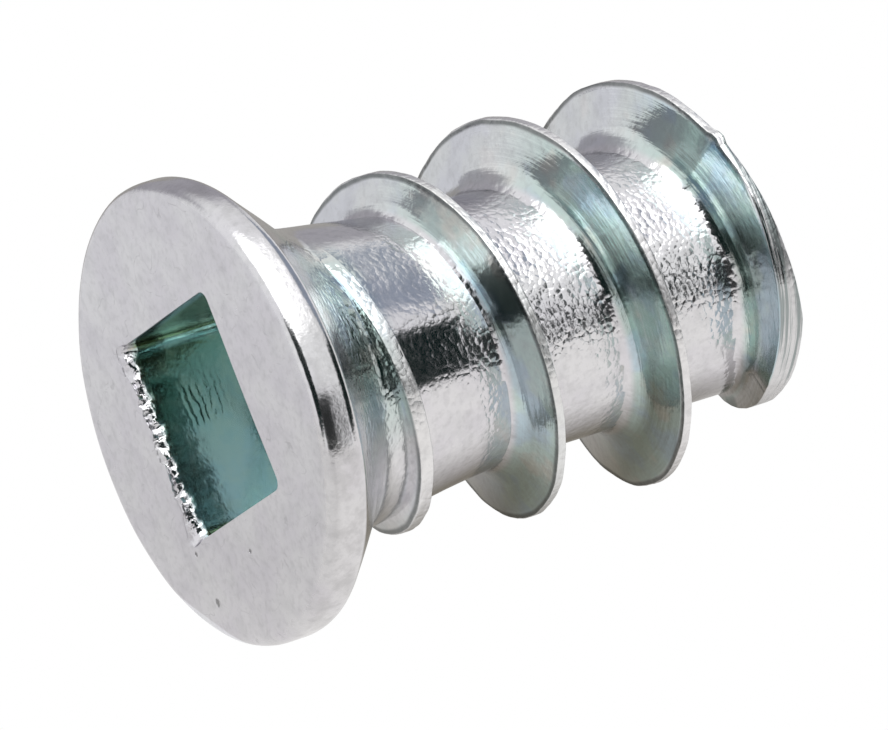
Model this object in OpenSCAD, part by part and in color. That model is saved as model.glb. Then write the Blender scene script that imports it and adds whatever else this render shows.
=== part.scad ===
// Euro screw: a short, stout screw that cuts its deep thread into a 5 mm hole of a cabinet side.
// It is one piece of cold-formed, zinc-plated steel. It stands on its head here: the middle of the
// head's face is the origin, the axis runs along +Z, and the tip is at the top.

/* [Head] */
// Diameter of the head
head_d = 8.3; // [7.6:0.05:9]
// Height of the rim, from the face to its back edge
rim_h = 0.65; // [0.55:0.05:0.9]
// Radius of the round between the face and the rim
rim_round = 0.45; // [0.1:0.05:0.5]
// Angle of the countersunk underside, measured across the cone
countersink_angle = 90; // [80:1:110]

/* [Drive socket] */
// Width of the square socket across its flats
socket_w = 3.6; // [2.8:0.05:3.7]
// Depth of the socket's flat walls
socket_depth = 2.3; // [1.2:0.1:2.6]
// Radius in the corners of the square
socket_corner = 0.2; // [0.1:0.05:0.5]
// Depth of the hollow that the punch's point leaves in the socket's floor
socket_point = 0.4; // [0.1:0.05:0.8]

/* [Shank] */
// Length of the whole screw, from the head's face to the end of the tip
length = 10.4; // [8:0.1:16]
// Diameter of the core between the turns of the thread
core_d = 4.7; // [4.5:0.05:5]
// Diameter of the neck where it comes out of the countersunk underside
neck_d = 5.55; // [5.2:0.05:5.8]
// Length of the neck, over which it narrows to the core
neck_l = 2.9; // [1.5:0.1:3.5]
// Bevel round the end of the tip
tip_bevel = 0.25; // [0.2:0.05:0.8]

/* [Thread] */
// Diameter over the crests
thread_d = 7; // [6:0.1:8]
// Rise of the thread in one turn
pitch = 2.5; // [2.3:0.05:3.2]
// Width of the flat land along the crest
crest_w = 0.15; // [0.1:0.01:0.4]
// Slope of the flank that faces the head, from square to the axis
head_flank = 14; // [8:1:25]
// Slope of the flank that faces the tip, from square to the axis
tip_flank = 9; // [6:1:30]
// Bevel between each flank and the core
root_bevel = 0.25; // [0.1:0.05:0.4]
// Height over which the thread rises from the neck to its full diameter
run_in = 4.3; // [2:0.05:6]
// Turn round the axis at which the crest comes out of the neck
start_turn = 208; // [0:1:359]
// Height left bare between the end of the thread and the end of the tip
end_gap = 0.1; // [0.1:0.05:0.5]
// Height of the blunt edge that the thread widens to where it runs into its square end
end_edge = 0.5; // [0.2:0.05:0.8]

/* [Hidden] */
$fn = 96;
// Sides that the thread has in one turn
turn_steps = 60;
// Part of a turn that the thread's beginning lies hidden in the neck
hidden_turn = 0.25;
// Depths below the core's surface of the thread's root and of its run-out end
root_sink = 0.2;
end_sink = 0.16;
// Height that the thread still has where it ends
end_thin = 0.05;
// Highest place of the bevel, as a share of the thread's depth
bevel_high = 0.4;
// Lowest and highest place of the bend in the tip's flank, as shares of the thread's depth
bend_low = 0.5;
bend_high = 0.9;
// Height that the socket's cutter stands out of the face
cut_out = 0.5;

head_r = head_d / 2;
core_r = core_d / 2;
neck_r = neck_d / 2;
thread_r = thread_d / 2;
root_r = core_r - root_sink;
// Height at which the countersunk underside meets the neck
neck_z = rim_h + (head_r - neck_r) / tan(countersink_angle / 2);
// Height of the crest's middle above the foot of the flank that faces the head
foot_drop = crest_w / 2 + (thread_r - core_r - root_bevel) * tan(head_flank) + root_bevel;
// Height at which the thread is cut off square, and where its blunt edge starts below that
thread_top = length - end_gap;
edge_z = thread_top - end_edge;
// Heights of the crest's middle at the first section, at the start of the blunt edge and at the last section
first_z = neck_z - hidden_turn * pitch;
blunt_z = edge_z + crest_w / 2;
last_z = thread_top - end_thin + foot_drop;
section_count = ceil((last_z - first_z) / pitch * turn_steps);

// Radius of the crest where its middle is at height z
function crest_r(z) = min(thread_r, neck_r + (z - neck_z) * (thread_r - neck_r) / run_in);

// Radius to which the run-out lowers the thread where the crest's middle is at height z
function end_r(z) =
    let(share = max(0, z - blunt_z) / (last_z - blunt_z))
    thread_r - (thread_r - core_r + end_sink) * share * share;

// Height of the crest's lower edge, which waits at the blunt edge until the foot has climbed to it
function edge_side(z) =
    z < blunt_z ? z - crest_w / 2 : max(edge_z, min(z - foot_drop, thread_top - end_thin));

// Heights of the two flanks at radius r
function head_side(z, r) = min(edge_side(z), z - crest_w / 2 - (crest_r(z) - r) * tan(head_flank));
function tip_side(z, r) = min(thread_top, z + crest_w / 2 + (crest_r(z) - r) * tan(tip_flank));

// Radius at which the flank that faces the tip runs into the square end of the thread
function cut_r(z) = crest_r(z) - (thread_top - z - crest_w / 2) / tan(tip_flank);

// Outline of the thread in the plane through the axis, as [radius, height], where its crest is at height z
function section(z) =
    let(top_r = min(crest_r(z), end_r(z)))
    let(depth = top_r - root_r)
    let(bevel_r = min(core_r + root_bevel, root_r + bevel_high * depth))
    let(bend_r = max(root_r + bend_low * depth, min(root_r + bend_high * depth, cut_r(z))))
    [
        [root_r, head_side(z, bevel_r) - (bevel_r - root_r)],
        [bevel_r, head_side(z, bevel_r)],
        [top_r, edge_side(z)],
        [top_r, tip_side(z, top_r)],
        [bend_r, tip_side(z, bend_r)],
        [bevel_r, tip_side(z, bevel_r)],
        [root_r, min(thread_top, tip_side(z, bevel_r) + bevel_r - root_r)],
    ];

// The section turned to its place round the axis
function section_points(z) =
    let(turn = start_turn + 360 * (z - neck_z) / pitch)
    [for (p = section(z)) [p[0] * cos(turn), p[0] * sin(turn), p[1]]];

// Right-hand thread, swept as one closed skin
module thread() {
    corners = len(section(first_z));
    heights = [for (i = [0:section_count]) first_z + (last_z - first_z) * i / section_count];
    points = [for (z = heights) each section_points(z)];
    side_faces = [
        for (i = [0:section_count - 1], j = [0:corners - 1])
        let(a = i * corners + j)
        let(b = i * corners + (j + 1) % corners)
        each [[a, b + corners, a + corners], [a, b, b + corners]]
    ];
    first_face = [for (j = [corners - 1:-1:0]) j];
    last_face = [for (j = [0:corners - 1]) section_count * corners + j];
    polyhedron(points, concat(side_faces, [first_face, last_face]), convexity = 10);
}

// Half outline of the head, the neck, the core and the bevelled tip
module body_outline() {
    polygon([
        [0, 0],
        [head_r - rim_round, 0],
        [head_r, rim_round],
        [head_r, rim_h],
        [neck_r, neck_z],
        [core_r, neck_z + neck_l],
        [core_r, length - tip_bevel],
        [core_r - tip_bevel, length],
        [0, length],
    ]);
    translate([head_r - rim_round, rim_round])
        circle(rim_round);
}

// Square with round corners, and the point of the punch beyond it
module socket_cutter() {
    inner_w = socket_w - 2 * socket_corner;
    translate([0, 0, -cut_out])
        linear_extrude(socket_depth + cut_out) {
            square([socket_w, inner_w], center = true);
            square([inner_w, socket_w], center = true);
            for (x = [-1, 1], y = [-1, 1])
                translate([x, y] * inner_w / 2)
                    circle(socket_corner);
        }
    translate([0, 0, socket_depth])
        cylinder(h = socket_point, d1 = inner_w, d2 = 0);
}

// Cold-formed blank with its rolled thread and its punched socket
module screw() {
    color("silver")
        difference() {
            union() {
                rotate_extrude() body_outline();
                thread();
            }
            socket_cutter();
        }
}

screw();
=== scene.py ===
import math

import bpy
import numpy as np
from mathutils import Matrix, Vector, noise


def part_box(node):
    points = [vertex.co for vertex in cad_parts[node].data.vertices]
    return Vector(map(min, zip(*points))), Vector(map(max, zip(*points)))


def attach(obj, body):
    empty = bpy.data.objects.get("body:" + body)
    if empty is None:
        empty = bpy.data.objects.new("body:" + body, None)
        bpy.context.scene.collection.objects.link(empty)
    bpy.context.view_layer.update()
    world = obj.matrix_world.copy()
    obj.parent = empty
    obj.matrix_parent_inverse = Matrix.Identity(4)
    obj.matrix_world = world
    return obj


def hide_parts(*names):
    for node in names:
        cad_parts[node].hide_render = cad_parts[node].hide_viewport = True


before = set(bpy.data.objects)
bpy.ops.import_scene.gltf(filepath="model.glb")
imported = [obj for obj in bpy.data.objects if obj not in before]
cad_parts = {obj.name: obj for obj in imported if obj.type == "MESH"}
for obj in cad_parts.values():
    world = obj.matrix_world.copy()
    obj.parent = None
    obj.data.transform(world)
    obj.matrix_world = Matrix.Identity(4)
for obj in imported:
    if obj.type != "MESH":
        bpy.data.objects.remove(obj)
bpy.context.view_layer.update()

# The blank: a length of steel wire, headed cold into a thin countersunk head with a rounded rim.
# Its neck narrows to a straight core, and the end is cropped square. All sizes are millimetres,
# and the finished mesh is brought to metres at the end.
MM = 0.001
solid_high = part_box("screw")[1]
head_r = solid_high.x / MM
length = solid_high.z / MM
rim_h = 0.65
rim_round = 0.47
rim_back_round = 0.12
rim_lean = 0.09
rim_lean_turn = math.radians(338)
neck_r = 2.775
neck_z = rim_h + head_r - neck_r
neck_round = 0.4
neck_l = 2.9
core_r = 2.35
core_round = 1.2
tip_bevel = 0.25
tip_side_round = 0.1
tip_end_round = 0.08
unevenness = 0.012
blank_sides = 240
blank_step = 0.1
blank_arc_steps = 8
face_middle = 0.2
arc_share = 0.45


def rounded(corners, arc_steps):
    """Points along a line of corners, each (radius, height, round), whose two ends stay sharp.
    An arc takes at most its share of the stretches beside it."""
    points = [np.array(corners[0][:2])]
    for before, corner, after in zip(corners, corners[1:], corners[2:]):
        here = np.array(corner[:2])
        back = np.array(before[:2]) - here
        on = np.array(after[:2]) - here
        reach = min(corner[2], arc_share * np.hypot(*back), arc_share * np.hypot(*on))
        start = here + back / max(np.hypot(*back), 1e-9) * reach
        end = here + on / max(np.hypot(*on), 1e-9) * reach
        for t in np.linspace(0, 1, arc_steps + 1):
            points.append((1 - t) ** 2 * start + 2 * t * (1 - t) * here + t ** 2 * end)
    points.append(np.array(corners[-1][:2]))
    return points


def filled(points, step):
    """The same line with more points on its long straight stretches."""
    out = [points[0]]
    for a, b in zip(points, points[1:]):
        parts = max(1, math.ceil(np.hypot(*(b - a)) / step))
        out.extend(a + (b - a) * k / parts for k in range(1, parts + 1))
    return out


def skin(name, rings):
    """Closed mesh object that joins rings of equally many points and caps the first and the last ring."""
    count = len(rings[0])
    points = [tuple(p) for ring in rings for p in ring]
    faces = []
    for i in range(len(rings) - 1):
        for j in range(count):
            a = i * count + j
            b = i * count + (j + 1) % count
            faces.append((a, b, b + count, a + count))
    faces.append(tuple(range(count - 1, -1, -1)))
    faces.append(tuple(range((len(rings) - 1) * count, len(rings) * count)))
    mesh = bpy.data.meshes.new(name)
    mesh.from_pydata(points, [], faces)
    made = bpy.data.objects.new(name, mesh)
    bpy.context.collection.objects.link(made)
    return made


def uneven(point, size, seed):
    """Slow swell of a formed surface at a point, with hollows about this many millimetres apart."""
    return noise.noise(Vector(point) / size + Vector((seed, 0, 0)))


blank_outline = rounded(
    [
        (face_middle, 0, 0),
        (head_r, 0, rim_round),
        (head_r, rim_h, rim_back_round),
        (neck_r, neck_z, neck_round),
        (core_r, neck_z + neck_l, core_round),
        (core_r, length - tip_bevel, tip_side_round),
        (core_r - tip_bevel, length, tip_end_round),
        (face_middle, length, 0),
    ],
    blank_arc_steps,
)
blank_rings = []
for radius, z in filled(blank_outline, blank_step):
    lean = rim_lean * max(0, 1 - abs(z - rim_h) / (neck_z - rim_h)) * min(1, z / rim_h)
    ring = []
    for k in range(blank_sides):
        turn = 2 * math.pi * k / blank_sides
        point = Vector((radius * math.cos(turn), radius * math.sin(turn), z))
        swell = unevenness * uneven(point, size=0.9, seed=3)
        point.z += lean * math.cos(turn - rim_lean_turn) + unevenness * uneven(point, size=1.4, seed=7)
        point.x += swell * math.cos(turn)
        point.y += swell * math.sin(turn)
        ring.append(point)
    blank_rings.append(ring)
blank = skin("blank", blank_rings)

# The thread: rolled out of the wire by two dies. It rises out of the neck over almost two turns to
# a narrow land, which is broader at first, and leaves the core with a small hollow. At the tip it
# widens to a blunt edge where it runs out.
thread_r = 3.5
pitch = 2.5
crest_w = 0.15
broad_crest = 0.16
broad_crest_l = 2.2
head_slope = math.tan(math.radians(14))
tip_slope = math.tan(math.radians(9))
root_bevel = 0.25
highest_bevel = 0.4
run_in = 4.3
start_turn = math.radians(208)
hidden_turn = 0.25
end_gap = 0.1
end_edge = 0.5
end_thin = 0.05
end_sink = 0.16
root_sink = 0.2
root_round = 0.16
crest_round = 0.022
turn_steps = 180
thread_arc_steps = 5
crest_wander = 0.016
short_wander = 0.6
nub_z = 9.78
nub_height = 0.11
nub_rise = 0.011
root_r = core_r - root_sink
thread_top = length - end_gap
edge_z = thread_top - end_edge
foot_drop = crest_w / 2 + (thread_r - core_r - root_bevel) * head_slope + root_bevel
blunt_z = edge_z + crest_w / 2
first_z = neck_z - hidden_turn * pitch
last_z = thread_top - end_thin + foot_drop


def thread_corners(z, wander):
    """Corners of the thread's section where the middle of its crest is at height z."""
    crest_r = min(thread_r, neck_r + (z - neck_z) * (thread_r - neck_r) / run_in) + wander
    unfilled = max(0, 1 - max(0, z - neck_z) / broad_crest_l)
    half_crest = crest_w / 2 + broad_crest / 2 * unfilled
    ended = max(0, z - blunt_z) / (last_z - blunt_z)
    top_r = crest_r - (thread_r - core_r + end_sink) * ended ** 2
    edge = z - half_crest
    if z > blunt_z:
        edge = max(edge_z, min(z - foot_drop, thread_top - end_thin))
    bevel_r = min(core_r + root_bevel, root_r + highest_bevel * (top_r - root_r))
    bevel_low = min(edge, z - half_crest - (crest_r - bevel_r) * head_slope)
    bevel_high = min(thread_top, z + half_crest + (crest_r - bevel_r) * tip_slope)
    top_high = min(thread_top, z + half_crest + (crest_r - top_r) * tip_slope)
    return [
        (root_r, bevel_low - (bevel_r - root_r), 0),
        (bevel_r, bevel_low, root_round),
        (top_r, edge, crest_round),
        (top_r, top_high, crest_round),
        (bevel_r, bevel_high, root_round),
        (root_r, min(thread_top, bevel_high + bevel_r - root_r), 0),
    ]


thread_rings = []
section_count = math.ceil((last_z - first_z) / pitch * turn_steps)
for i in range(section_count + 1):
    z = first_z + (last_z - first_z) * i / section_count
    turn = start_turn + 2 * math.pi * (z - neck_z) / pitch
    crest = (thread_r * math.cos(turn), thread_r * math.sin(turn), z)
    slow = uneven(crest, size=0.8, seed=11)
    wander = crest_wander * (slow + short_wander * uneven(crest, size=0.22, seed=13))
    wander += nub_height * math.exp(-((z - nub_z) / nub_rise) ** 2)
    ring = []
    for radius, height in rounded(thread_corners(z, wander), thread_arc_steps):
        point = Vector((radius * math.cos(turn), radius * math.sin(turn), height))
        below_end = min(1, max(0, (thread_top - height) / end_gap))
        point.z += unevenness * uneven(point, size=0.8, seed=17) * below_end
        ring.append(point)
    thread_rings.append(ring)
thread = skin("thread", thread_rings)

# The socket: a square hole punched into the head. The punch's pointed end leaves a shallow cone
# in the floor, and one edge of its mouth is torn up into a bright, ragged lip.
socket_w = 3.6
socket_half = socket_w / 2
socket_depth = 2.3
socket_corner = 0.2
socket_point = 0.4
socket_draft = 0.02
point_half = 0.05
point_corner = 0.02
cut_out = 0.3
mouth_wear = 0.03
lip_width = 0.11
lip_from = 0.25
lip_fade = 0.2
lip_sink = 0.07
lip_bulge = 0.4
least_lip = 0.1
coarse_rag = 1.1
fine_rag = 0.8
sink_rag = 0.9
corner_tear = 0.07
corner_from = 1.45
corner_fade = 0.2
corner_steps = 6
side_steps = 90


def square_ring(half, corner, z):
    """A square with round corners at height z, as points that run round it."""
    ring = []
    for quarter in range(4):
        start = quarter * math.pi / 2
        middle = Matrix.Rotation(start, 3, "Z") @ Vector((half - corner, half - corner, 0))
        for k in range(corner_steps + 1):
            a = start + k / corner_steps * math.pi / 2
            ring.append(middle + Vector((corner * math.cos(a), corner * math.sin(a), z)))
        last = ring[-1]
        turn_on = Matrix.Rotation(math.pi / 2, 3, "Z")
        next_first = turn_on @ (middle + Vector((corner * math.cos(start), corner * math.sin(start), z)))
        for k in range(1, side_steps):
            ring.append(last.lerp(next_first, k / side_steps))
    return ring


def torn(half, z, share, seed):
    """A ring whose +Y side is pushed out raggedly, more so in its corners, which leaves the torn lip."""
    out = []
    for point in square_ring(half, socket_corner, z):
        along = (point.x, 0, seed)
        on_lip = min(max((point.y - socket_half + lip_from) / lip_fade, 0), 1)
        rag = coarse_rag * uneven(along, 0.3, seed) + fine_rag * uneven(along, 0.09, seed)
        corner = corner_tear * min(max((abs(point.x) - corner_from) / corner_fade, 0), 1)
        push = on_lip * share * (lip_width * max(least_lip, 1 + rag) + corner)
        sink = on_lip * min(z, lip_sink) * sink_rag * uneven(along, 0.12, seed + 5)
        out.append(point + Vector((lip_bulge * push * point.x / socket_half, push, sink)))
    return out


socket_rings = [
    torn(socket_half + mouth_wear, z=-cut_out, share=1.0, seed=23),
    torn(socket_half + mouth_wear, z=0, share=1.0, seed=23),
    torn(socket_half + mouth_wear / 2, z=0.05, share=0.8, seed=31),
    torn(socket_half + mouth_wear / 4, z=0.11, share=0.45, seed=37),
    torn(socket_half, z=0.19, share=0.1, seed=41),
    square_ring(socket_half - socket_draft / 4, socket_corner, z=0.3),
    square_ring(socket_half - socket_draft / 2, socket_corner, z=socket_depth / 2),
    square_ring(socket_half - socket_draft, socket_corner, z=socket_depth),
    square_ring(point_half, point_corner, z=socket_depth + socket_point),
]
socket_cutter = skin("socket_cutter", socket_rings)


def combine(body, tool, operation):
    """Joins the tool to the body or cuts it out of the body, and clears the tool away."""
    change = body.modifiers.new(operation, "BOOLEAN")
    change.operation = operation
    change.solver = "EXACT"
    change.object = tool
    shown = body.evaluated_get(bpy.context.evaluated_depsgraph_get())
    made = bpy.data.meshes.new_from_object(shown)
    body.modifiers.clear()
    body.data = made
    bpy.data.objects.remove(tool)


sharp_from = math.radians(50)
combine(blank, thread, "UNION")
combine(blank, socket_cutter, "DIFFERENCE")
screw = blank
screw.name = "zinc_screw"
screw.data.transform(Matrix.Scale(MM, 4))
for polygon in screw.data.polygons:
    polygon.use_smooth = True
screw.data.set_sharp_from_angle(angle=sharp_from)

# The finish: bright zinc, plated on over the formed steel and passivated. It is smooth on the rim and
# the crests, finely crystalline on one side of the core and drawn into lines along the flanks. The clear
# film leaves a cool blue-green tint in the hollows, which painted reflection deepens on one side.
zinc = bpy.data.materials.new("zinc_plate")
zinc.use_nodes = True
zinc_shader = zinc.node_tree.nodes["Principled BSDF"]

# the node tree that the functions below add to
tree = zinc.node_tree


def feed(socket, value):
    """Sets a plain number or colour on a socket, or links another node's output to it."""
    if isinstance(value, bpy.types.NodeSocket):
        tree.links.new(value, socket)
    else:
        socket.default_value = value


def maths(operation, first, second=0.0):
    """One sum with one or two values."""
    node = tree.nodes.new("ShaderNodeMath")
    node.operation = operation
    feed(node.inputs[0], first)
    feed(node.inputs[1], second)
    return node.outputs["Value"]


def product(first, *others):
    """All the values multiplied."""
    for other in others:
        first = maths("MULTIPLY", first, other)
    return first


def total(first, *others):
    """All the values added up."""
    for other in others:
        first = maths("ADD", first, other)
    return first


def between(value, low, high, course="SMOOTHSTEP"):
    """0 below low, 1 above high, and a slope in between; the other way round where low is the higher."""
    node = tree.nodes.new("ShaderNodeMapRange")
    node.interpolation_type = course
    feed(node.inputs["From Min"], low)
    feed(node.inputs["From Max"], high)
    feed(node.inputs["Value"], value)
    return node.outputs["Result"]


def band(value, start, full_from, full_to, end):
    """1 from full_from to full_to, and down to 0 at the start and at the end."""
    return product(between(value, start, full_from), between(value, end, full_to))


def spots(place, scale, detail=2.0, roughness=0.5):
    """Cloudy noise, with this many swells to the millimetre."""
    node = tree.nodes.new("ShaderNodeTexNoise")
    feed(node.inputs["Scale"], scale)
    feed(node.inputs["Detail"], detail)
    feed(node.inputs["Roughness"], roughness)
    feed(node.inputs["Vector"], place)
    return node.outputs["Fac"]


def vector(x, y, z):
    """Three values as one place."""
    node = tree.nodes.new("ShaderNodeCombineXYZ")
    feed(node.inputs["X"], x)
    feed(node.inputs["Y"], y)
    feed(node.inputs["Z"], z)
    return node.outputs["Vector"]


def axes(place):
    """The X, Y and Z of a place."""
    node = tree.nodes.new("ShaderNodeSeparateXYZ")
    feed(node.inputs["Vector"], place)
    return node.outputs["X"], node.outputs["Y"], node.outputs["Z"]


def tint(share, under, over):
    """One colour laid over another by a share."""
    node = tree.nodes.new("ShaderNodeMix")
    node.data_type = "RGBA"
    feed(node.inputs[0], share)
    feed(node.inputs[6], under)
    feed(node.inputs[7], over)
    return node.outputs[2]


def place_in_mm():
    """The place on the object itself, in millimetres."""
    object_place = tree.nodes.new("ShaderNodeTexCoord")
    node = tree.nodes.new("ShaderNodeVectorMath")
    node.operation = "SCALE"
    feed(node.inputs["Scale"], 1 / MM)
    feed(node.inputs[0], object_place.outputs["Object"])
    return node.outputs["Vector"]


place = place_in_mm()
x, y, height = axes(place)
radius = maths("SQRT", total(product(x, x), product(y, y)))
turn = maths("ARCTAN2", y, x)


def side(middle, low, high):
    """The side of the screw round this turn, from where the cosine is low to where it is high."""
    return between(maths("COSINE", maths("SUBTRACT", turn, math.radians(middle))), low, high)


# where each kind of surface lies on the head and in the socket
socket_end = socket_depth + socket_point
mouth_half = socket_half + 0.28
mouth_blur = 0.04
mouth_r = 2.6
mouth_r_blur = 0.06
face_depth = 0.1
wall_from = 0.28
lip_heights = (0.003, 0.01, 0.12, 0.26)
rim_heights = (0.03, 0.25, 0.6, 0.85)
rim_from, rim_full = 3.2, 3.6
neck_heights = (0.9, 1.3, 2.4, 2.8)
# the side of the neck that is speckled and carries the film tint with painted reflection
neck_speckle_and_reflection_turn = 268
on_face = between(height, face_depth, 0.0)
reach = maths("MAXIMUM", maths("ABSOLUTE", x), maths("ABSOLUTE", y))
inside = product(
    between(reach, mouth_half + mouth_blur, mouth_half),
    between(height, socket_end + 0.2, socket_end + 0.1),
    between(radius, mouth_r + mouth_r_blur, mouth_r),
)
in_socket = product(inside, between(height, face_depth, wall_from))
on_lip = product(between(y, socket_half - 0.05, socket_half), band(height, *lip_heights), inside)
on_rim = product(band(height, *rim_heights), between(radius, rim_from, rim_full))
on_neck = product(band(height, *neck_heights), side(neck_speckle_and_reflection_turn, 0.65, 0.92))
on_neck = product(on_neck, maths("SUBTRACT", 1.0, inside))

# where it lies on the core and the thread, by the height above the tapering body
speckle_turn = 262
speckle_from, speckle_full = 2.2, 5.6
off_head = between(height, neck_z - 0.4, neck_z + 0.2)
narrowed = between(height, neck_z, neck_z + neck_l, "LINEAR")
body_r = maths("SUBTRACT", neck_r, product(narrowed, neck_r - core_r))
above_core = maths("SUBTRACT", radius, body_r)
on_core = product(off_head, between(above_core, 0.12, 0.03))
past_neck = product(total(0.2, product(between(height, 2.9, 3.7), 0.8)), between(height, 1.2, 2.2))
below_crest = between(radius, thread_r - 0.03, thread_r - 0.12)
on_flank = product(past_neck, between(above_core, 0.04, 0.16), below_crest)
speckled_side = total(0.3, product(side(speckle_turn, 0.3, 0.85), 0.7))
speckled = product(on_core, speckled_side, between(height, speckle_from, speckle_full))
speckled = maths("MAXIMUM", speckled, product(on_neck, 0.75))

# height above or below the edge of the land, all the way along the thread
land_half = 0.07
land_edge_band = (land_half, 0.08, 0.088, 0.105)
full_turn = 2 * math.pi
rise = maths("SUBTRACT", product(height, full_turn / pitch), turn)
crest_rise = full_turn * neck_z / pitch - start_turn
past_crest = total(maths("SUBTRACT", rise, crest_rise), math.pi)
past_crest = maths("SUBTRACT", maths("FLOORED_MODULO", past_crest, full_turn), math.pi)
off_crest = maths("ABSOLUTE", product(past_crest, pitch / full_turn))
unfilled = maths("DIVIDE", maths("SUBTRACT", neck_z + broad_crest_l, height), broad_crest_l)
unfilled = maths("MAXIMUM", unfilled, 0.0)
off_land = maths("SUBTRACT", off_crest, product(unfilled, broad_crest / 2))
on_thread = product(off_head, between(above_core, 0.06, 0.2))
on_land = product(on_thread, between(off_land, 0.1, land_half))
on_blunt = product(on_thread, between(height, edge_z, edge_z + 0.04))
before_blunt = between(height, edge_z + 0.02, edge_z - 0.05)
land_edge = product(band(off_land, *land_edge_band), on_thread, before_blunt)

# lines left by the dies, which run round with the thread
line_r = 2.2
across_lines = total(product(radius, 3.0), product(height, 0.15))
line_x = product(maths("COSINE", rise), line_r)
line_y = product(maths("SINE", rise), line_r)
die_lines = spots(vector(line_x, line_y, across_lines), scale=1.6, detail=4.0, roughness=0.65)

# streaks round the blunt end, where the dies let go of the thread
streak_place = vector(maths("COSINE", turn), maths("SINE", turn), product(height, 9.0))
streaks = spots(streak_place, scale=1.4, detail=3.0, roughness=0.6)

# crystals of the plating, the grain of the steel, and slow clouds in the clear film
crystals = tree.nodes.new("ShaderNodeTexVoronoi")
feed(crystals.inputs["Scale"], 8.5)
feed(crystals.inputs["Vector"], place)
crystal_valley = product(crystals.outputs["Distance"], crystals.outputs["Distance"])
grain = spots(place, scale=7.0, detail=2.5, roughness=0.55)
fine_grain = spots(place, scale=18.0)
mottle = spots(place, scale=2.4, detail=4.0, roughness=0.62)
clouds = spots(place, scale=0.8, detail=3.0, roughness=0.55)

# scratches in the face: thin curved lines, broken off here and there
scratch_swell = spots(place, scale=1.5, detail=1.5, roughness=0.4)
scratch_line = maths("ABSOLUTE", maths("SUBTRACT", scratch_swell, 0.5))
scratch_break = between(spots(place, scale=3.1, detail=1.0), 0.5, 0.6)
scratched = product(between(scratch_line, 0.007, 0.001), scratch_break, on_face)


def mark(mark_x, mark_y, size):
    """A small dent in the face at a place, this many millimetres across."""
    across = maths("SUBTRACT", x, mark_x)
    along = maths("SUBTRACT", y, mark_y)
    away = maths("SQRT", total(product(across, across), product(along, along)))
    ragged = total(away, product(maths("SUBTRACT", grain, 0.5), size * 0.8))
    return product(between(ragged, size * 0.55, size * 0.25), on_face)


dents = maths("MAXIMUM", mark(2.91, 1.88, size=0.16), mark(2.46, 0.05, size=0.1))
dents = maths("MAXIMUM", dents, mark(1.98, 1.98, size=0.09))

# chatter of the punch across one wall of the socket
chatter_x = -0.5
chatter_z = 1.15
chatter_wave = maths("SINE", total(product(height, 44.0), product(mottle, 14.0)))
chatter = product(
    chatter_wave,
    in_socket,
    between(maths("ABSOLUTE", maths("SUBTRACT", x, chatter_x)), 0.5, 0.2),
    between(maths("ABSOLUTE", maths("SUBTRACT", height, chatter_z)), 0.5, 0.25),
)

# the relief, in millimetres
crystal_depth = total(0.001, product(maths("MAXIMUM", speckled, on_land), 0.0095))
grain_depth = total(0.0035, product(speckled, 0.006))
line_depth = total(product(on_flank, 0.009), product(on_land, 0.006))
relief = total(
    product(crystal_valley, crystal_depth, -1.0),
    product(grain, grain_depth),
    product(fine_grain, 0.001),
    product(die_lines, line_depth),
    product(streaks, on_blunt, 0.03),
    product(grain, on_lip, 0.02),
    product(scratched, -0.003),
    product(chatter, 0.0025),
    product(dents, -0.03),
)
bump = tree.nodes.new("ShaderNodeBump")
feed(bump.inputs["Strength"], 1.0)
feed(bump.inputs["Distance"], MM)
feed(bump.inputs["Height"], relief)
feed(zinc_shader.inputs["Normal"], bump.outputs["Normal"])

# the colours, from the bare plating to what lies on it, and the painted highlights, reflections and shade
zinc_violet = (0.685, 0.675, 0.71, 1)
zinc_bright = (0.73, 0.73, 0.745, 1)
film_and_reflection_blue = (0.48, 0.60, 0.67, 1)
film_and_reflection_green = (0.53, 0.655, 0.625, 1)
film_and_reflection_olive = (0.63, 0.65, 0.60, 1)
painted_land_highlight = (0.82, 0.815, 0.82, 1)
rim_wear_and_shade_grey = (0.47, 0.46, 0.465, 1)
blunt_bright = (0.68, 0.68, 0.69, 1)
blunt_dark = (0.30, 0.34, 0.34, 1)
painted_dark_edge_lines = (0.10, 0.115, 0.115, 1)
mottle_grey = (0.42, 0.43, 0.44, 1)
grain_grey = (0.38, 0.38, 0.39, 1)
socket_shaded_green = (0.37, 0.55, 0.50, 1)
socket_lit_blue = (0.60, 0.73, 0.76, 1)
socket_pale = (0.66, 0.74, 0.68, 1)
socket_olive_reflection = (0.50, 0.48, 0.24, 1)
scratch_grey = (0.36, 0.36, 0.37, 1)
dent_dark = (0.12, 0.12, 0.12, 1)

zinc_colour = tint(between(clouds, 0.35, 0.65), zinc_violet, zinc_bright)
film_and_reflection_colour = tint(between(clouds, 0.40, 0.52), film_and_reflection_blue, film_and_reflection_green)
film_and_reflection_colour = tint(between(clouds, 0.56, 0.66), film_and_reflection_colour, film_and_reflection_olive)
# painted reflection: the film's tint is laid on strongly on the side round this turn and on the neck, and
# faintly elsewhere
reflection_turn = 300
reflection_side = total(0.2, product(side(reflection_turn, -0.25, 0.45), 0.75))
film_and_reflection = maths("MAXIMUM", product(on_flank, reflection_side), product(on_neck, 0.7))
plate_colour = tint(film_and_reflection, zinc_colour, film_and_reflection_colour)
# painted highlight: the crest lands are laid lighter
plate_colour = tint(product(on_land, 0.85), plate_colour, painted_land_highlight)
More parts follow.
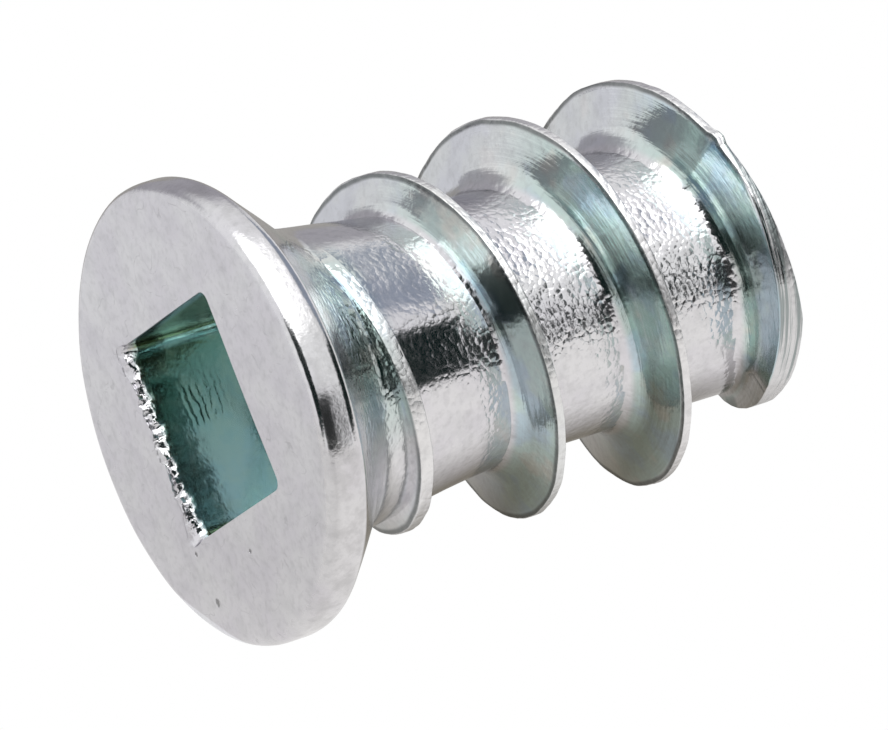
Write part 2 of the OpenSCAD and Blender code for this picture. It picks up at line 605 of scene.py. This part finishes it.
# mottled wear and painted shade: the rim is laid darker grey all round, more so in patches
rim_wear_and_shade = total(0.15, product(between(mottle, 0.38, 0.62), 0.3))
plate_colour = tint(product(on_rim, rim_wear_and_shade), plate_colour, rim_wear_and_shade_grey)
blunt_colour = tint(between(streaks, 0.46, 0.60), blunt_bright, blunt_dark)
plate_colour = tint(on_blunt, plate_colour, blunt_colour)
# painted reflection: near-black lines along both edges of each land
plate_colour = tint(product(land_edge, 0.85), plate_colour, painted_dark_edge_lines)
plate_colour = tint(product(between(mottle, 0.4, 0.75), 0.24), plate_colour, mottle_grey)
plate_colour = tint(product(between(grain, 0.45, 0.7), 0.2), plate_colour, grain_grey)
# painted shade across the socket: darker green towards -X and the mouth, lighter blue towards +X and the
# bottom
socket_light_slope = between(total(x, product(height, 0.9)), -1.2, 2.4)
socket_colour = tint(socket_light_slope, socket_shaded_green, socket_lit_blue)
socket_colour = tint(product(between(mottle, 0.42, 0.62), 0.5), socket_colour, socket_pale)
# painted reflection: an olive tint on the -X wall of the socket
olive_reflection_wall = between(x, 0.06 - socket_half, 0.03 - socket_half)
socket_colour = tint(product(olive_reflection_wall, 0.85), socket_colour, socket_olive_reflection)
plate_colour = tint(in_socket, plate_colour, socket_colour)
plate_colour = tint(product(scratched, 0.3), plate_colour, scratch_grey)
plate_colour = tint(product(dents, 0.7), plate_colour, dent_dark)
dullness = total(0.09, product(mottle, 0.11), product(maths("MAXIMUM", on_face, on_land), 0.15))
zinc_shader.inputs["Metallic"].default_value = 1.0
feed(zinc_shader.inputs["Base Color"], plate_colour)
feed(zinc_shader.inputs["Roughness"], dullness)
screw.data.materials.clear()
screw.data.materials.append(zinc)
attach(screw, "root")
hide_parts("screw")

# The floor: a wide sheet of pale paper under the head. It is see-through from below, since the camera
# looks at the head from there, and nothing mirrors it.
floor_half = 3000
paper_grey = (0.9, 0.9, 0.9, 1)
paper_roughness = 0.8


def rectangle(name, half_width, half_height):
    """A flat sheet in the plane of its own X and Y, round its own middle."""
    across = half_width * MM
    up = half_height * MM
    mesh = bpy.data.meshes.new(name)
    corners = [(-across, -up, 0), (across, -up, 0), (across, up, 0), (-across, up, 0)]
    mesh.from_pydata(corners, [], [(0, 1, 2, 3)])
    made = bpy.data.objects.new(name, mesh)
    bpy.context.collection.objects.link(made)
    return made


floor = rectangle("floor", floor_half, floor_half)
floor.visible_diffuse = False
floor.visible_glossy = False
floor.visible_transmission = False
floor.visible_shadow = False
paper = bpy.data.materials.new("pale_paper")
paper.use_nodes = True
tree = paper.node_tree
paper_shader = tree.nodes["Principled BSDF"]
paper_shader.inputs["Base Color"].default_value = paper_grey
paper_shader.inputs["Roughness"].default_value = paper_roughness
clear = tree.nodes.new("ShaderNodeBsdfTransparent")
underside = tree.nodes.new("ShaderNodeNewGeometry")
paper_mix = tree.nodes.new("ShaderNodeMixShader")
feed(paper_mix.inputs["Fac"], underside.outputs["Backfacing"])
feed(paper_mix.inputs[1], paper_shader.outputs["BSDF"])
feed(paper_mix.inputs[2], clear.outputs["BSDF"])
feed(tree.nodes["Material Output"].inputs["Surface"], paper_mix.outputs["Shader"])
floor.data.materials.append(paper)

# The surrounding: pure white to the eye and in what the metal mirrors, and a slightly cool, dimmer
# room for the light that falls on everything.
room_colour = (0.85, 0.86, 0.88, 1)
room_strength = 0.9
world = bpy.data.worlds.new("white_surrounding")
bpy.context.scene.world = world
world.use_nodes = True
tree = world.node_tree
room = tree.nodes["Background"]
room.inputs["Color"].default_value = room_colour
room.inputs["Strength"].default_value = room_strength
white = tree.nodes.new("ShaderNodeBackground")
white.inputs["Color"].default_value = (1, 1, 1, 1)
white.inputs["Strength"].default_value = 1.0
ray = tree.nodes.new("ShaderNodeLightPath")
seen = maths("MAXIMUM", ray.outputs["Is Camera Ray"], ray.outputs["Is Glossy Ray"])
seen = maths("MAXIMUM", seen, ray.outputs["Is Transmission Ray"])
room_mix = tree.nodes.new("ShaderNodeMixShader")
feed(room_mix.inputs["Fac"], seen)
feed(room_mix.inputs[1], room.outputs["Background"])
feed(room_mix.inputs[2], white.outputs["Background"])
feed(tree.nodes["World Output"].inputs["Surface"], room_mix.outputs["Shader"])

# The cards: a soft light, tinted paper and dark cloths, hung round the screw out of the camera's sight.
# The bright metal mirrors them, and they fade out towards their edges.
stage_middle = Vector((0, 0, length / 2)) * MM
card_distance = 150

soft_edge = bpy.data.node_groups.new("soft_edge", "ShaderNodeTree")
for input_name in ("Half Width", "Half Height", "Soft Width", "Soft Height"):
    soft_edge.interface.new_socket(input_name, in_out="INPUT", socket_type="NodeSocketFloat")
soft_edge.interface.new_socket("Share", in_out="OUTPUT", socket_type="NodeSocketFloat")
tree = soft_edge
edge_sizes = tree.nodes.new("NodeGroupInput")
card_x, card_y = axes(place_in_mm())[:2]
fades = []
for along, measure in ((card_x, "Width"), (card_y, "Height")):
    half = edge_sizes.outputs["Half " + measure]
    full_from = maths("SUBTRACT", half, edge_sizes.outputs["Soft " + measure])
    fades.append(between(maths("ABSOLUTE", along), half, full_from))
edge_out = tree.nodes.new("NodeGroupOutput")
feed(edge_out.inputs["Share"], product(*fades))


def card(name, half_width, half_height):
    """A flat panel that only reflections show."""
    made = rectangle(name, half_width, half_height)
    made.visible_camera = False
    made.visible_shadow = False
    made.visible_diffuse = False
    return made


def hang(panel, turn, rise, distance):
    """Hangs a panel round the screw, facing its middle, with its own Y upright."""
    a = math.radians(turn)
    e = math.radians(rise)
    out = Vector((math.cos(a) * math.cos(e), math.sin(a) * math.cos(e), math.sin(e)))
    place = Matrix.Translation(stage_middle + out * distance * MM)
    panel.matrix_world = place @ out.to_track_quat("Z", "Y").to_matrix().to_4x4()


def glow(panel, colour, strength, soft_width, soft_height):
    """A lit surface that fades out towards the panel's edges, over these widths in millimetres."""
    made = bpy.data.materials.new(panel.name)
    made.use_nodes = True
    nodes = made.node_tree.nodes
    shader = nodes["Principled BSDF"]
    shader.inputs["Base Color"].default_value = (0, 0, 0, 1)
    shader.inputs["Specular IOR Level"].default_value = 0
    shader.inputs["Emission Color"].default_value = (*colour, 1)
    shader.inputs["Emission Strength"].default_value = strength
    edge = nodes.new("ShaderNodeGroup")
    edge.node_tree = soft_edge
    edge.inputs["Half Width"].default_value = panel.dimensions.x / 2 / MM
    edge.inputs["Half Height"].default_value = panel.dimensions.y / 2 / MM
    edge.inputs["Soft Width"].default_value = soft_width
    edge.inputs["Soft Height"].default_value = soft_height
    made.node_tree.links.new(edge.outputs["Share"], shader.inputs["Alpha"])
    panel.data.materials.append(made)


back_card = card("back_card", 150, 170)
hang(back_card, turn=135, rise=5, distance=card_distance + 20)
glow(back_card, (0.42, 0.41, 0.44), strength=1.0, soft_width=90, soft_height=60)

softbox = card("softbox", 98, 140)
hang(softbox, turn=229, rise=-10, distance=card_distance + 10)
glow(softbox, (1.0, 0.995, 0.985), strength=2.8, soft_width=26, soft_height=45)

blue_card = card("blue_card", 84, 50)
hang(blue_card, turn=207, rise=54, distance=card_distance)
glow(blue_card, (0.34, 0.385, 0.46), strength=1.0, soft_width=24, soft_height=18)

high_cloth = card("high_cloth", 60, 68)
hang(high_cloth, turn=286, rise=55, distance=card_distance)
glow(high_cloth, (0.004, 0.012, 0.011), strength=1.0, soft_width=16, soft_height=28)

side_cloth = card("side_cloth", 46, 95)
hang(side_cloth, turn=299, rise=-2, distance=card_distance - 10)
glow(side_cloth, (0.03, 0.032, 0.032), strength=1.0, soft_width=18, soft_height=40)

low_cloth = card("low_cloth", 66, 62)
hang(low_cloth, turn=276, rise=-46, distance=card_distance)
glow(low_cloth, (0.002, 0.010, 0.009), strength=1.0, soft_width=14, soft_height=16)

# The table sheet: pale lit paper close along one side, as a table is under a screw that lies down. It
# stands upright here, since the screw stands on its head, and it is dark where the screw shades it.
sheet_half = 120
sheet_turn = 39.7
sheet_gap = 3.9
shade_middle = 1.9
shade_half_l = 2.2
shade_from, shade_to = -0.3, 4.5
pale_from, pale_to = -5, 12
far_from_x, far_to_x = 0.5, 3
far_from_y, far_to_y = -5.5, -3
low_from, low_to = -6.5, -3
sheet_dark = (0.21, 0.19, 0.155, 1)
sheet_far_shade = (0.40, 0.385, 0.365, 1)
sheet_pale = ((0.1, (0.97, 0.95, 0.935, 1)), (0.35, (0.86, 0.845, 0.845, 1)), (1.0, (0.98, 0.975, 0.99, 1)))
lowest_light = 0.85
sheet = card("table_sheet", sheet_half, sheet_half)
hang(sheet, sheet_turn, 0, sheet_gap)
sheet_finish = bpy.data.materials.new("table_sheet")
sheet_finish.use_nodes = True
tree = sheet_finish.node_tree
tree.nodes.remove(tree.nodes["Principled BSDF"])
sheet_x, sheet_y = axes(place_in_mm())[:2]

# how far each place is from the dark stretch along the screw
along_shade = maths("ABSOLUTE", maths("SUBTRACT", sheet_y, shade_middle))
past_shade = maths("MAXIMUM", maths("SUBTRACT", along_shade, shade_half_l), 0.0)
off_shade = maths("SQRT", total(product(sheet_x, sheet_x), product(past_shade, past_shade)))
lit = between(off_shade, shade_from, shade_to)

# the pale glow of the paper, with painted shade in a greyer stretch on the far side
pale_ramp = tree.nodes.new("ShaderNodeValToRGB")
feed(pale_ramp.inputs["Fac"], between(sheet_x, pale_from, pale_to, "LINEAR"))
stops = pale_ramp.color_ramp.elements
stops.new(sheet_pale[1][0])
for stop, (position, colour) in zip(stops, sheet_pale):
    stop.position = position
    stop.color = colour
far_side = product(between(sheet_x, far_from_x, far_to_x), between(sheet_y, far_from_y, far_to_y))
sheet_colour = tint(far_side, pale_ramp.outputs["Color"], sheet_far_shade)
sheet_colour = tint(lit, sheet_dark, sheet_colour)
# painted shade: the glow is dimmer towards the head's end of the sheet
up_sheet = between(sheet_y, low_from, low_to, "LINEAR")
sheet_light = tree.nodes.new("ShaderNodeEmission")
feed(sheet_light.inputs["Color"], sheet_colour)
feed(sheet_light.inputs["Strength"], total(lowest_light, product(up_sheet, 1 - lowest_light)))
feed(tree.nodes["Material Output"].inputs["Surface"], sheet_light.outputs["Emission"])
sheet.data.materials.append(sheet_finish)

# The camera: far off with a long lens, below the head and a little to its right. It is rolled over,
# so that the screw seems to lie on its side.
camera_azimuth = math.radians(8.06)
camera_elevation = math.radians(-28.45)
camera_roll = math.radians(72.4)
camera_distance = 208.5
camera_aim = Vector((0.402, 0.057, 4.865))
lens = bpy.data.cameras.new("camera")
lens.lens = 486.5
lens.sensor_width = 36
lens.clip_start = 0.01
lens.clip_end = 10
camera = bpy.data.objects.new("camera", lens)
bpy.context.collection.objects.link(camera)
back = Vector((
    math.sin(camera_azimuth) * math.cos(camera_elevation),
    -math.cos(camera_azimuth) * math.cos(camera_elevation),
    math.sin(camera_elevation),
))
camera.matrix_world = (
    Matrix.Translation((camera_aim + back * camera_distance) * MM)
    @ (-back).to_track_quat("-Z", "Y").to_matrix().to_4x4()
    @ Matrix.Rotation(camera_roll, 4, "Z")
)
bpy.context.scene.camera = camera
bpy.context.scene.view_settings.view_transform = "Standard"
